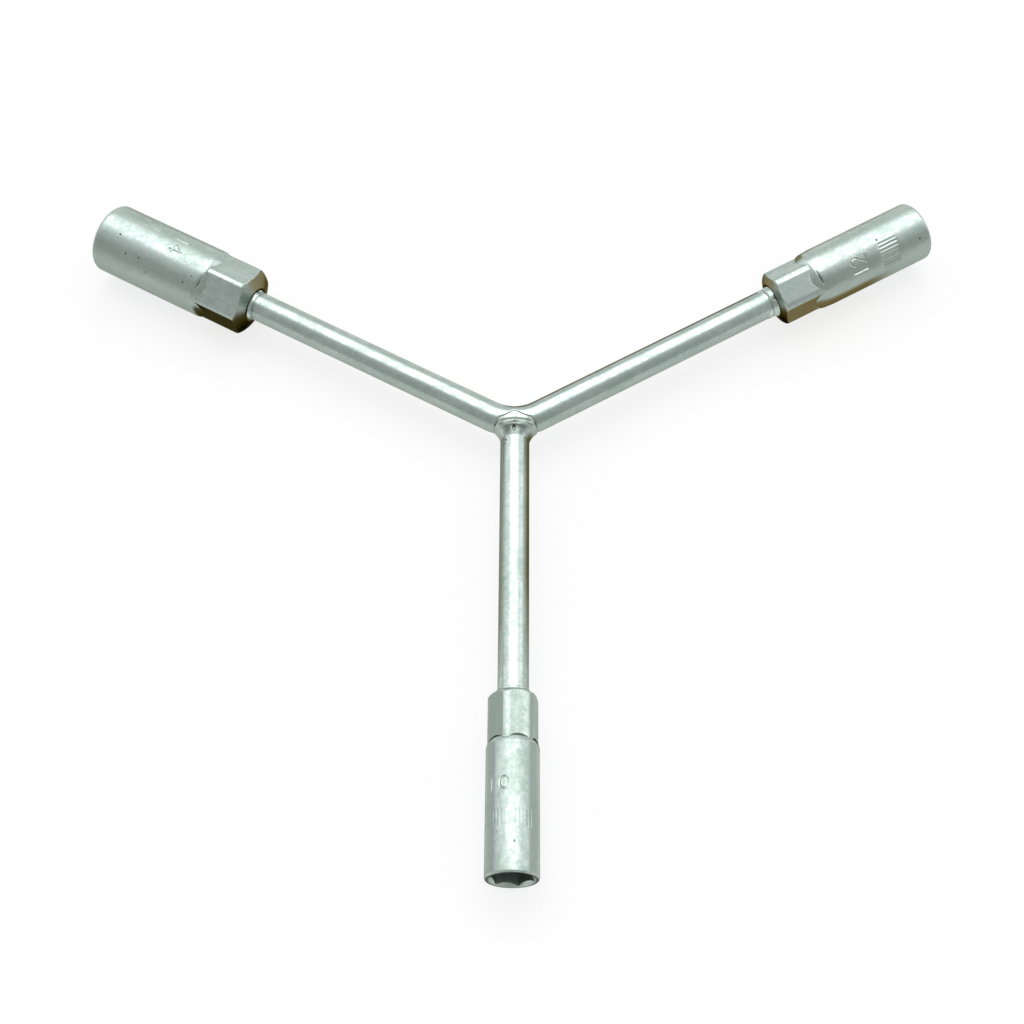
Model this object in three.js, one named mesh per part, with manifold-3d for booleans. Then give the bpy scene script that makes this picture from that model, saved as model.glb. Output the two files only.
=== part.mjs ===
// Y wrench with three box sockets.
// One round bar is bent into the two upper arms, a straight stem bar is welded into the bend,
// and each of the three bar ends is seated and welded in the hexagonal shank of a forged socket.
// Units are millimetres. The arms lie level, +Z is up and the stem points along -Y.
// The origin is the middle of the bounding box, on the plane that the wrench lies on.

import * as THREE from 'three';
import { mergeVertices } from 'three/addons/utils/BufferGeometryUtils.js';
import Module from 'manifold-3d';

const wasm = await Module();
wasm.setup();

// Driving dimensions of the bars
const armSpread = THREE.MathUtils.degToRad(120);
const armBar = { radius: 4.35, bendRadius: 14 };
const stemBar = { radius: 4.15 };

// Driving dimensions shared by all seats and cuts
const seatClearance = 0.3;
const nutClearance = 0.1;
const cutOverrun = 1;

// Driving dimensions of the weld between the stem and the bend. Its crown is widest crownBack
// behind the face of the bend that the stem meets.
const hubWeld = { throat: 1.75, crownLength: 6, crownBack: 0.984, toeLength: 4.8, toeEdge: 0.2 };

// Driving dimensions of the sockets.
// barReach runs from the corner where the arm axes meet to the back face of the shank, and length
// from there to the mouth. The shank is the hexagon, the barrel the round part, and walls are
// radial: shankWall over the seat bore to the flats, barrelWall over the nut corners.
const leftSocket = {
  name: '14mm',
  nutSize: 14,
  barReach: 91,
  length: 54,
  seatDepth: 11,
  webLength: 12,
  broachDepth: 18,
  shankLength: 13,
  shankWall: 4.6,
  cornerCut: 0.33,
  backRim: 0.9,
  backCone: 1.95,
  backEdge: 0.6,
  coneLength: 1.2,
  taperRise: 0.15,
  taperLength: 0.9,
  barrelWall: 2.6,
  mouthRound: 1.1,
  mouthBevel: 0.2,
  beadCount: 1,
  beadLength: 1.1,
  beadHeight: 0.35,
  cornerTurn: THREE.MathUtils.degToRad(10),
};
const rightSocket = {
  name: '12mm',
  nutSize: 12,
  barReach: 88.6,
  length: 52.2,
  seatDepth: 10.5,
  webLength: 12,
  broachDepth: 16,
  shankLength: 10.7,
  shankWall: 2.95,
  cornerCut: 0.32,
  backRim: 0.8,
  backCone: 1.3,
  backEdge: 0.5,
  coneLength: 2,
  taperRise: 0.25,
  taperLength: 3.6,
  barrelWall: 2.1,
  mouthRound: 0.9,
  mouthBevel: 0.2,
  beadCount: 3,
  beadLength: 1,
  beadHeight: 0.25,
  cornerTurn: THREE.MathUtils.degToRad(1),
};
const stemSocket = {
  name: '10mm',
  nutSize: 10,
  barReach: 82.9,
  length: 50.1,
  seatDepth: 10.9,
  webLength: 11,
  broachDepth: 15,
  shankLength: 14,
  shankWall: 1.65,
  cornerCut: 0.29,
  backRim: 0.2,
  backCone: 0.4,
  backEdge: 2,
  coneLength: 1.4,
  taperRise: 0.08,
  taperLength: 0.8,
  barrelWall: 1.15,
  mouthRound: 0.5,
  mouthBevel: 0.1,
  beadCount: 1,
  beadLength: 0.7,
  beadHeight: 0.2,
  cornerTurn: THREE.MathUtils.degToRad(-14),
};

// A weld bead never gets thinner than this at its edges
const beadRoot = 0.25;

// Angles and shares that shape the curves
const quarterTurn = Math.PI / 2;
const drillPointAngle = THREE.MathUtils.degToRad(118);
const bevelAngle = THREE.MathUtils.degToRad(45);
const mouthRoundShare = 0.6;
const toeHandleShares = [0.3, 0.65];

// How finely the round faces are divided
const barSides = 28;
const turnedSides = 48;
const bendSteps = 10;
const arcSteps = 5;
const beadSteps = 4;
const mergeDistance = 0.001;

// Materials
const plated = new THREE.MeshStandardMaterial({
  color: 0xb7c2bd,
  roughness: 0.34,
  metalness: 1,
  flatShading: true,
});
const satin = new THREE.MeshStandardMaterial({
  color: 0xaebab5,
  roughness: 0.42,
  metalness: 1,
  flatShading: true,
});
const weldMetal = new THREE.MeshStandardMaterial({
  color: 0xa9b3ae,
  roughness: 0.3,
  metalness: 1,
  flatShading: true,
});

// Merges the corners that coincide and drops the triangles that have no area
function weldedTriangles(geometry) {
  const bare = geometry.clone();
  bare.deleteAttribute('normal');
  bare.deleteAttribute('uv');
  const merged = mergeVertices(bare, mergeDistance);
  const corners = merged.index.array;
  const triangles = [];
  for (let i = 0; i < corners.length; i += 3) {
    const [a, b, c] = corners.slice(i, i + 3);
    if (a !== b && b !== c && c !== a) triangles.push(a, b, c);
  }
  return { positions: merged.attributes.position.array, triangles: Uint32Array.from(triangles) };
}

function toSolid(geometry) {
  const { positions, triangles } = weldedTriangles(geometry);
  return new wasm.Manifold(new wasm.Mesh({ numProp: 3, vertProperties: positions, triVerts: triangles }));
}

function toGeometry(solid) {
  const { vertProperties, triVerts } = solid.getMesh();
  const raw = new THREE.BufferGeometry();
  raw.setAttribute('position', new THREE.BufferAttribute(vertProperties, 3));
  raw.setIndex(new THREE.BufferAttribute(triVerts, 1));
  const { positions, triangles } = weldedTriangles(raw);
  const geometry = new THREE.BufferGeometry();
  geometry.setAttribute('position', new THREE.BufferAttribute(positions, 3));
  geometry.setIndex(new THREE.BufferAttribute(triangles, 1));
  geometry.computeVertexNormals();
  return geometry;
}

// A turned body on the X axis. The profile is a list of [place along X, radius] with X rising.
function turned(profile, sides = turnedSides) {
  const points = profile.map(([place, radius]) => new THREE.Vector2(radius, place));
  return new THREE.LatheGeometry(points, sides).rotateZ(-quarterTurn);
}

// A round bar or bore on the X axis
function roundBar(radius, start, end, sides = barSides) {
  return turned([[start, 0], [start, radius], [end, radius], [end, 0]], sides);
}

// A hexagonal prism on the X axis. cornerTurn turns its first corner from +Z towards +Y.
function hexBar(acrossFlats, cornerTurn, start, end) {
  const cornerRadius = acrossFlats / 2 / Math.cos(Math.PI / 6);
  const outline = new THREE.Shape();
  for (let corner = 0; corner < 6; corner += 1) {
    const angle = cornerTurn + (corner * Math.PI) / 3;
    const point = [-cornerRadius * Math.cos(angle), cornerRadius * Math.sin(angle)];
    if (corner === 0) outline.moveTo(...point);
    else outline.lineTo(...point);
  }
  outline.closePath();
  const prism = new THREE.ExtrudeGeometry(outline, { depth: end - start, bevelEnabled: false });
  return prism.rotateY(quarterTurn).translate(start, 0, 0);
}

// The sizes of a socket that follow from its driving dimensions
function workedOut(size, bar) {
  const seatRadius = bar.radius + seatClearance;
  const nutFlats = size.nutSize + nutClearance;
  const nutCornerRadius = nutFlats / 2 / Math.cos(Math.PI / 6);
  const barrelRadius = nutCornerRadius + size.barrelWall;
  const shankFlats = 2 * (seatRadius + size.shankWall);
  return {
    seatRadius,
    nutFlats,
    nutCornerRadius,
    barrelRadius,
    shankFlats,
    shankCornerRadius: shankFlats / 2 / Math.cos(Math.PI / 6) - size.cornerCut,
    backRadius: seatRadius + size.backRim,
    mouthRound: Math.min(size.mouthRound, size.barrelWall * mouthRoundShare),
    boreBottom: size.seatDepth + size.webLength,
  };
}

// The back end of the shank: a flat rim, a shallow cone and a rounded edge up to the corners
function backProfile(size, made) {
  const rim = new THREE.Vector2(0, made.backRadius);
  const sharp = new THREE.Vector2(size.backCone, made.shankCornerRadius);
  const edgeStart = rim.clone().sub(sharp).setLength(size.backEdge).add(sharp);
  const edgeEnd = new THREE.Vector2(size.backCone + size.backEdge, made.shankCornerRadius);
  const edge = new THREE.QuadraticBezierCurve(edgeStart, sharp, edgeEnd);
  return [rim, ...edge.getPoints(arcSteps)].map((point) => [point.x, point.y]);
}

// The hexagonal shank: a hexagon whose corners are turned down and whose back end is coned
function shankSolid(size, made) {
  const shankEnd = size.shankLength + size.coneLength + size.taperLength;
  const profile = [[0, 0], ...backProfile(size, made)];
  profile.push([shankEnd, made.shankCornerRadius], [shankEnd, 0]);
  const hexagon = toSolid(hexBar(made.shankFlats, size.cornerTurn, -cutOverrun, shankEnd));
  return hexagon.intersect(toSolid(turned(profile)));
}

// The barrel: a cone out of the shank flats, a slight taper, the round wall and a rounded mouth
function barrelSolid(size, made) {
  const rimPlace = size.shankLength + size.coneLength;
  const profile = [
    [size.shankLength, 0],
    [size.shankLength, made.shankFlats / 2],
    [rimPlace, made.barrelRadius - size.taperRise],
    [rimPlace + size.taperLength, made.barrelRadius],
  ];
  for (let step = 0; step <= arcSteps; step += 1) {
    const angle = (step / arcSteps) * quarterTurn;
    const place = size.length - made.mouthRound * (1 - Math.sin(angle));
    profile.push([place, made.barrelRadius - made.mouthRound * (1 - Math.cos(angle))]);
  }
  profile.push([size.length, 0]);
  return toSolid(turned(profile));
}

// The cavity for the nut: a broached hexagon, the drilled hole behind it and a bevel at the mouth
function nutCavity(size, made) {
  const holeRadius = made.nutFlats / 2;
  const pointLength = holeRadius / Math.tan(drillPointAngle / 2);
  const bevelRadius = made.nutCornerRadius + size.mouthBevel;
  const bevelLength = (bevelRadius - holeRadius) / Math.tan(bevelAngle);
  const open = size.length + cutOverrun;
  const drilled = turned([
    [made.boreBottom, 0],
    [made.boreBottom + pointLength, holeRadius],
    [size.length - bevelLength, holeRadius],
    [size.length, bevelRadius],
    [open, bevelRadius],
    [open, 0],
  ]);
  const broached = hexBar(made.nutFlats, size.cornerTurn, size.length - size.broachDepth, open);
  return toSolid(drilled).add(toSolid(broached));
}

function socketGeometry(size, bar) {
  const made = workedOut(size, bar);
  const seatBore = toSolid(roundBar(made.seatRadius, -cutOverrun, size.seatDepth, turnedSides));
  const body = shankSolid(size, made).add(barrelSolid(size, made));
  return toGeometry(body.subtract(nutCavity(size, made)).subtract(seatBore));
}

// The ring of weld beads round the bar, just behind the shank
function neckWeldGeometry(size, bar) {
  const innerRadius = bar.radius + seatClearance;
  const ringLength = size.beadCount * size.beadLength;
  const start = -seatClearance - ringLength;
  const outer = [];
  for (let step = 0; step <= size.beadCount * beadSteps; step += 1) {
    const swell = Math.abs(Math.sin((step / beadSteps) * Math.PI));
    const place = start + (step / beadSteps) * size.beadLength;
    outer.push([place, innerRadius + beadRoot + size.beadHeight * swell]);
  }
  const end = start + ringLength;
  return turned([[start, innerRadius], ...outer, [end, innerRadius], [start, innerRadius]], barSides);
}

// The axis of the bent bar, from the end of the left arm round the bend to the end of the right arm.
// Each straight is one step long and the bend takes all the other steps.
class BentBarAxis extends THREE.Curve {
  constructor(leftReach, rightReach) {
    super();
    const turn = Math.PI - armSpread;
    const tangentLength = armBar.bendRadius * Math.tan(turn / 2);
    this.turn = turn;
    this.centre = armBar.bendRadius / Math.cos(turn / 2);
    this.leftStraight = leftReach - tangentLength;
    this.rightStraight = rightReach - tangentLength;
  }

  swingAt(t) {
    const step = t * (bendSteps + 2) - 1;
    const swing = (THREE.MathUtils.clamp(step / bendSteps, 0, 1) - 1 / 2) * this.turn;
    return { step, swing };
  }

  getTangent(t, target = new THREE.Vector3()) {
    const { swing } = this.swingAt(t);
    return target.set(Math.cos(swing), Math.sin(swing), 0);
  }

  getPoint(t, target = new THREE.Vector3()) {
    const { step, swing } = this.swingAt(t);
    const radius = armBar.bendRadius;
    const left = Math.min(step, 0) * this.leftStraight;
    const right = Math.max(step - bendSteps, 0) * this.rightStraight;
    target.set(radius * Math.sin(swing), this.centre - radius * Math.cos(swing), 0);
    return target.addScaledVector(this.getTangent(t), left + right);
  }

  getPointAt(u, target) {
    return this.getPoint(u, target);
  }

  getTangentAt(u, target) {
    return this.getTangent(u, target);
  }
}

function bentBarGeometry(radius, leftReach, rightReach) {
  const section = new THREE.Shape().absarc(0, 0, radius, 0, 2 * Math.PI);
  const axis = new BentBarAxis(leftReach, rightReach);
  return new THREE.ExtrudeGeometry(section, {
    steps: bendSteps + 2,
    curveSegments: barSides / 2,
    bevelEnabled: false,
    extrudePath: axis,
  });
}

function barEnd(size) {
  return size.barReach + size.seatDepth - seatClearance;
}

// How far the middle of the bend lies from the corner where the arm axes meet
const bendOffset = armBar.bendRadius * (1 / Math.cos((Math.PI - armSpread) / 2) - 1);

// Where the three arms point, counted from +X
const leftBearing = quarterTurn + armSpread / 2;
const rightBearing = quarterTurn - armSpread / 2;
const stemBearing = -quarterTurn;

// The room that the bent bar takes, with its clearance, seen from the stem's own frame
function bentBarRoom() {
  const radius = armBar.radius + seatClearance;
  const room = bentBarGeometry(radius, leftSocket.barReach, rightSocket.barReach);
  return toSolid(room.rotateZ(-stemBearing));
}

// The stem starts on the middle of the bent bar and is coped to fit it
function stemGeometry(size) {
  const straight = toSolid(roundBar(stemBar.radius, -bendOffset, barEnd(size)));
  return toGeometry(straight.subtract(bentBarRoom()));
}

// The weld round the stem: a crown that wraps the bent bar and a toe that runs out along the stem
function hubWeldGeometry() {
  const innerRadius = stemBar.radius + seatClearance;
  const crownRadius = innerRadius + hubWeld.throat;
  const toeRadius = innerRadius + hubWeld.toeEdge;
  const crownPlace = armBar.radius - bendOffset - hubWeld.crownBack;
  const toeEnd = crownPlace + hubWeld.toeLength;
  const profile = [];
  const crownSteps = 2 * arcSteps;
  for (let step = 0; step < crownSteps; step += 1) {
    const angle = (step / crownSteps) * quarterTurn;
    const place = crownPlace - hubWeld.crownLength * Math.cos(angle);
    profile.push([place, crownRadius * Math.sin(angle)]);
  }
  const toe = new THREE.CubicBezierCurve(
    new THREE.Vector2(crownPlace, crownRadius),
    new THREE.Vector2(crownPlace + hubWeld.toeLength * toeHandleShares[0], crownRadius),
    new THREE.Vector2(toeEnd - hubWeld.toeLength * toeHandleShares[1], toeRadius),
    new THREE.Vector2(toeEnd, toeRadius),
  );
  for (const point of toe.getPoints(crownSteps)) profile.push([point.x, point.y]);
  profile.push([toeEnd, 0]);
  const stemRoom = toSolid(roundBar(innerRadius, -bendOffset, toeEnd + cutOverrun));
  const bead = toSolid(turned(profile, barSides));
  return toGeometry(bead.subtract(bentBarRoom()).subtract(stemRoom));
}

function namedMesh(name, geometry, material) {
  const mesh = new THREE.Mesh(geometry, material);
  mesh.name = name;
  return mesh;
}

// One arm's own pieces, with the arm along +X before it is turned to its bearing
function armGroup(size, bar, bearing) {
  const arm = new THREE.Group();
  const socket = namedMesh(`socket_${size.name}`, socketGeometry(size, bar), satin);
  const weld = namedMesh(`neck_weld_${size.name}`, neckWeldGeometry(size, bar), weldMetal);
  socket.position.x = size.barReach;
  weld.position.x = size.barReach;
  arm.add(socket, weld);
  arm.rotation.z = bearing;
  return arm;
}

const wrench = new THREE.Group();
const bentBar = bentBarGeometry(armBar.radius, barEnd(leftSocket), barEnd(rightSocket));
wrench.add(namedMesh('arm_bar', bentBar, plated));
wrench.add(armGroup(leftSocket, armBar, leftBearing));
wrench.add(armGroup(rightSocket, armBar, rightBearing));

const stemArm = armGroup(stemSocket, stemBar, stemBearing);
stemArm.add(namedMesh('stem_bar', stemGeometry(stemSocket), plated));
stemArm.add(namedMesh('hub_weld', hubWeldGeometry(), weldMetal));
wrench.add(stemArm);

// Stand the wrench on the plane z = 0, centred on the origin
wrench.updateMatrixWorld(true);
const bounds = new THREE.Box3().setFromObject(wrench, true);
const middle = bounds.getCenter(new THREE.Vector3());
wrench.position.set(-middle.x, -middle.y, -bounds.min.z);

const yWrench = new THREE.Group();
yWrench.name = 'y_wrench';
yWrench.add(wrench);

export default yWrench;
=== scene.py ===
import math
from types import SimpleNamespace

import bmesh
import bpy
import numpy as np
from mathutils import Matrix, Vector


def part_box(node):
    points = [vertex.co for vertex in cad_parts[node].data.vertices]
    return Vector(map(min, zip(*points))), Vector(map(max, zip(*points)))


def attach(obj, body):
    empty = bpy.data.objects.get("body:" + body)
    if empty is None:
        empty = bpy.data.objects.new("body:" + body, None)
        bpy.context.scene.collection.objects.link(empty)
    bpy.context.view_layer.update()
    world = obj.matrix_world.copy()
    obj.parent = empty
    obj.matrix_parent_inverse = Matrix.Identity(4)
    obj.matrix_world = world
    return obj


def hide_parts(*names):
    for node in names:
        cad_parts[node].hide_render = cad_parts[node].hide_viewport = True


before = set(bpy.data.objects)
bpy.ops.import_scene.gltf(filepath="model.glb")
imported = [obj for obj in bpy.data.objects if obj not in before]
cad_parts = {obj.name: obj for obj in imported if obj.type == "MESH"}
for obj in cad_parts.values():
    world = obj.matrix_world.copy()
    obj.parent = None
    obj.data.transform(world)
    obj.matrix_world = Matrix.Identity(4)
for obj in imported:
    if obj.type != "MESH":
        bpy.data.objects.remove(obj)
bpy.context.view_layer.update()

MM = 0.001
UP = np.array([0.0, 0.0, 1.0])

# The bars, and what the three sockets share, in millimetres and as angles
ARM_BAR_RADIUS = 4.35
BEND_RADIUS = 14
STEM_BAR_RADIUS = 4.15
ARM_SPREAD = math.radians(120)
SEAT_CLEARANCE = 0.3
NUT_CLEARANCE = 0.1
DRILL_POINT_ANGLE = math.radians(118)
FACET_TURN = math.pi / 3

# The sockets. Each row gives the 14 mm one, the 12 mm one and the 10 mm one. Places run along the
# arm from the back face of the shank, and an angle round the arm runs from straight up towards
# the arm's own left side, seen from its end. Sizes are in millimetres, and angles in degrees.
SOCKET_SIZES = dict(
    node=("socket_14mm", "socket_12mm", "socket_10mm"),
    weld_node=("neck_weld_14mm", "neck_weld_12mm", "neck_weld_10mm"),
    number=("14", "12", "10"),
    nut_size=(14, 12, 10),
    bar_radius=(ARM_BAR_RADIUS, ARM_BAR_RADIUS, STEM_BAR_RADIUS),
    bar_reach=(91, 88.6, 82.9),
    length=(54, 52.2, 50.1),
    seat_depth=(11, 10.5, 10.9),
    web_length=(12, 12, 11),
    broach_depth=(18, 16, 15),
    shank_length=(13, 10.7, 13.65),
    shank_wall=(4.6, 2.95, 1.65),
    corner_cut=(0.33, 0.46, 0.36),
    back_rim=(0.9, 0.8, 0.2),
    back_cone=(1.95, 1.3, 0.4),
    back_edge=(0.6, 0.5, 2),
    cone_length=(1.2, 2, 0.9),
    cone_stretch=(1.45, 1.6, 0.0),
    rim_mark_depth=(0.5, 0.6, 0.0),
    taper_rise=(0.15, 0.25, 0.3),
    taper_length=(0.9, 3.6, 1.2),
    barrel_wall=(2.6, 2.1, 1.15),
    mouth_round=(1.1, 0.9, 0.5),
    mouth_bevel=(0.2, 0.2, 0.1),
    bead_count=(1, 2, 1),
    bead_length=(1.3, 1.9, 0.5),
    bead_height=(0.14, 0.16, 0.1),
    number_place=(29.2, 29, 28.7),
    number_height=(4.3, 5, 3.2),
    number_width=(3.5, 2.7, 2.2),
    number_depths=((0.17, 0.17), (0.34, 0.17), (0.17, 0.17)),
    rib_place=(35.4, 34.4, 33.8),
    rib_length=(5.9, 6.4, 4.8),
    rib_pitch=(1.0, 1.15, 1.0),
    rib_depth=(0.08, 0.19, 0.05),
)
SOCKET_ANGLES = dict(
    bearing=(150, 30, 270),
    stretch_turn=(60, 88, 60),
    rim_mark_angle=(38, -34, 0.0),
    corner_turn=(10, 1, -14),
    back_tilt=(4.5, 8, 0.0),
    back_tilt_towards=(29, -30, 0.0),
    number_angles=((-17, -9), (-55.5, -44), (-46, -26)),
    rib_turn=(-30, -49, 6),
    rib_reach=(14, 22, 44),
    rib_fade=(16, 26, 24),
)


def socket_size(column):
    """One socket's sizes and its angles, now in radians."""
    sizes = {name: row[column] for name, row in SOCKET_SIZES.items()}
    angles = {name: np.radians(row[column]) for name, row in SOCKET_ANGLES.items()}
    return SimpleNamespace(**sizes, **angles)


SOCKETS = tuple(socket_size(column) for column in range(3))
SOCKET_14, SOCKET_12, SOCKET_10 = SOCKETS

# Stamped strokes, smoothed edges, lathe lines and ribs. Depths and widths are in millimetres, and
# the reach of a rim mark is an angle.
STROKE_HALF_WIDTH = 0.3
STROKE_LIP = 0.035
STROKE_LIP_WIDTH = 0.12
EDGE_BLEND = 0.12
CREASE = 0.03
CUT_LINE_DEPTH = 0.06
CUT_LINE_WIDTH = 0.1
RIM_LINE_DEPTH = 0.03
RIM_LINE_WIDTH = 0.26
RIM_MARK_REACH = math.radians(13)
RIB_SHARPNESS = 1.5
RIB_FAINT_SHARE = 0.25
RIB_STRONG_FADE_SHARE = 0.25

# How finely the surfaces are divided: millimetres, angles and counts
FINE_STEP = 0.13
EDGE_STEP = 0.16
PLAIN_STEP = 1.0
BAR_STEP = 2
CORNER_REACH = math.radians(12)
CORNER_ANGLE_STEP = math.radians(0.7)
PLAIN_ANGLE_STEP = math.radians(3)
RIB_STEP_SHARE = 1.3
ARC_STEPS = 8
ARC_POINTS = 14
RING_POINTS = 24
COUNT_SLACK = 1e-6
SHARP_ANGLE = math.radians(50)


def spaced(start, end, step):
    """Even places from start to end, no further apart than step."""
    count = max(1, math.ceil(abs(end - start) / step - COUNT_SLACK))
    return np.linspace(start, end, count + 1)


def smooth_max(a, b, blend):
    """The larger of a and b, with the crease between them rounded."""
    near = np.clip(1 - np.abs(a - b) / blend, 0, 1)
    return np.maximum(a, b) + blend * near**2 / 4


def smooth_min(a, b, blend):
    """The smaller of a and b, with the crease between them rounded."""
    return -smooth_max(-a, -b, blend)


def smooth_step(low, high, value):
    """A smooth rise from 0 to 1 while the value goes from low to high."""
    share = np.clip((value - low) / (high - low), 0, 1)
    return share * share * (3 - 2 * share)


def turned_from(angle, centre):
    """How far angle lies from centre, the short way round."""
    return (angle - centre + math.pi) % (2 * math.pi) - math.pi


class Arm:
    """One arm's own axes: along it, straight up, and to its side."""

    def __init__(self, hub, bearing):
        self.hub = hub
        self.along = np.array([math.cos(bearing), math.sin(bearing), 0.0])
        self.side = np.cross(UP, self.along)

    def points(self, place, radius, angle):
        """Points from their places along the arm, their distances from its axis and their angles."""
        place, radius, angle = np.broadcast_arrays(place, radius, angle)
        across = np.cos(angle)[..., None] * UP + np.sin(angle)[..., None] * self.side
        return self.hub + place[..., None] * self.along + radius[..., None] * across

    def direction(self, along, up, side):
        """A unit direction from its shares along the arm, upwards and to the arm's left side."""
        found = along * self.along + up * UP + side * self.side
        return found / np.linalg.norm(found)


def hub_corner():
    """Where the axes of the three arms meet, in millimetres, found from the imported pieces."""
    stem_low, stem_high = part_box("stem_bar")
    bar_low, bar_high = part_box("arm_bar")
    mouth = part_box(SOCKET_10.node)[0].y
    reach = SOCKET_10.bar_reach + SOCKET_10.length
    middle = (stem_low.x + stem_high.x) / 2 / MM
    return np.array([middle, mouth / MM + reach, (bar_low.z + bar_high.z) / 2 / MM])


HUB = hub_corner()


def closed_mesh(name, points, loop=False):
    """A body from rings of points in millimetres. Its ends close on their own middles, unless the
    rings run round in a loop."""
    rings, columns = points.shape[:2]
    vertices = points.reshape(-1, 3)
    ring = np.arange(rings if loop else rings - 1)[:, None] * columns
    next_ring = (ring + columns) % (rings * columns)
    column = np.arange(columns)[None, :]
    beside = (column + 1) % columns
    quads = np.stack([ring + column, ring + beside, next_ring + beside, next_ring + column], -1)
    faces = quads.reshape(-1, 4).tolist()
    if not loop:
        first, last = len(vertices), len(vertices) + 1
        vertices = np.vstack([vertices, points[0].mean(0), points[-1].mean(0)])
        end = (rings - 1) * columns
        for here, there in zip(column[0].tolist(), beside[0].tolist()):
            faces.append((first, there, here))
            faces.append((last, end + here, end + there))
    mesh = bpy.data.meshes.new(name)
    mesh.from_pydata((vertices * MM).tolist(), [], faces)
    shaped = bmesh.new()
    shaped.from_mesh(mesh)
    bmesh.ops.recalc_face_normals(shaped, faces=shaped.faces)
    shaped.to_mesh(mesh)
    shaped.free()
    mesh.shade_smooth()
    mesh.set_sharp_from_angle(angle=SHARP_ANGLE)
    piece = bpy.data.objects.new(name, mesh)
    bpy.context.scene.collection.objects.link(piece)
    return piece


def finish_piece(piece, node, material):
    """Gives a piece its material and puts it in the place of its solid."""
    piece.data.materials.append(material)
    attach(piece, "root")
    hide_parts(node)


def towards(bearing, elevation):
    """A direction from its bearing, counted from +X towards +Y, and its height above level."""
    flat = math.cos(math.radians(elevation))
    east = flat * math.cos(math.radians(bearing))
    north = flat * math.sin(math.radians(bearing))
    return (east, north, math.sin(math.radians(elevation)))


# Socket shapes


def worked_out(size):
    """The sizes of a socket that follow from its driving dimensions."""
    seat_radius = size.bar_radius + SEAT_CLEARANCE
    nut_flats = size.nut_size + NUT_CLEARANCE
    nut_corner = nut_flats / 2 / math.cos(FACET_TURN / 2)
    shank_flats = 2 * (seat_radius + size.shank_wall)
    longest_rim = size.shank_length + size.cone_length + size.cone_stretch
    return SimpleNamespace(
        seat_radius=seat_radius,
        nut_flats=nut_flats,
        nut_corner=nut_corner,
        barrel_radius=nut_corner + size.barrel_wall - STROKE_LIP,
        shank_flats=shank_flats,
        shank_corner=shank_flats / 2 / math.cos(FACET_TURN / 2) - size.corner_cut,
        back_radius=seat_radius + size.back_rim,
        bore_bottom=size.seat_depth + size.web_length,
        barrel_start=longest_rim + size.taper_length,
    )


def hexagon_radius(across_flats, corner_turn, angle):
    """How far the wall of a hexagon lies from its middle at each angle."""
    from_flat = (angle - corner_turn) % FACET_TURN - FACET_TURN / 2
    return across_flats / 2 / np.cos(from_flat)


def back_end_radius(size, made, place):
    """The turned envelope of the shank: a shallow cone and a rounded edge up to the corners."""
    rise = (made.shank_corner - made.back_radius) / size.back_cone
    cone = made.back_radius + place * rise
    rounded = smooth_min(cone, made.shank_corner, size.back_edge * rise)
    return np.maximum(rounded, made.back_radius - CREASE)


def rim_place(size, angle):
    """Where the shoulder cone ends. It runs on further away from the shank's upper corner."""
    away = np.abs(turned_from(angle, size.corner_turn))
    stretch = size.cone_stretch * smooth_step(0, size.stretch_turn, away)
    return size.shank_length + size.cone_length + stretch


def barrel_profile(size, made, place, angle):
    """The barrel's radius: a cone out of the shank flats, a slight taper and the round wall."""
    rim = rim_place(size, angle)
    flats = made.shank_flats / 2
    rise = made.barrel_radius - size.taper_rise - flats
    cone = flats + rise * np.clip((place - size.shank_length) / (rim - size.shank_length), 0, 1)
    taper = size.taper_rise * np.clip((place - rim) / size.taper_length, 0, 1)
    return np.where(place < size.shank_length, 0, cone + taper)


def rim_mark(size, place, angle):
    """The thin line that the lathe leaves round the rim, and the deeper mark in one place of it."""
    from_rim = (place - rim_place(size, angle) - CUT_LINE_WIDTH) / RIM_LINE_WIDTH
    deeper = np.exp(-((turned_from(angle, size.rim_mark_angle) / RIM_MARK_REACH) ** 2))
    return (RIM_LINE_DEPTH + size.rim_mark_depth * deeper) * np.exp(-(from_rim**2))


def outer_radius(size, made, place, angle):
    """The shank and the barrel, with the thin lines that the lathe leaves where they meet."""
    hexagon = hexagon_radius(made.shank_flats, size.corner_turn, angle)
    envelope = back_end_radius(size, made, place)
    shank = smooth_min(envelope, hexagon, EDGE_BLEND)
    barrel = barrel_profile(size, made, place, angle)
    near = (place > size.shank_length / 2) * np.exp(-(((shank - barrel) / CUT_LINE_WIDTH) ** 2))
    line = CUT_LINE_DEPTH * near + rim_mark(size, place, angle)
    return smooth_max(shank, barrel, EDGE_BLEND / 2) - line


def outer_places(size, made):
    """Places along the outside, closer together where its shape changes or is stamped. Each stop
    is where a run of places starts, and the step from there on."""
    rib_end = size.rib_place + size.rib_length
    stops = (
        (CREASE, EDGE_STEP),
        (size.back_cone + size.back_edge, PLAIN_STEP),
        (size.shank_length - EDGE_BLEND, EDGE_STEP),
        (made.barrel_start + EDGE_BLEND, PLAIN_STEP),
        (size.number_place - size.number_height - STROKE_HALF_WIDTH, FINE_STEP),
        (size.number_place + STROKE_HALF_WIDTH, PLAIN_STEP),
        (size.rib_place - EDGE_BLEND, EDGE_STEP),
        (rib_end + EDGE_BLEND, PLAIN_STEP),
    )
    ends = [start for start, step in stops[1:]] + [size.length - size.mouth_round]
    runs = [spaced(start, end, step) for (start, step), end in zip(stops, ends)]
    return np.unique(np.concatenate(runs))


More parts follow.
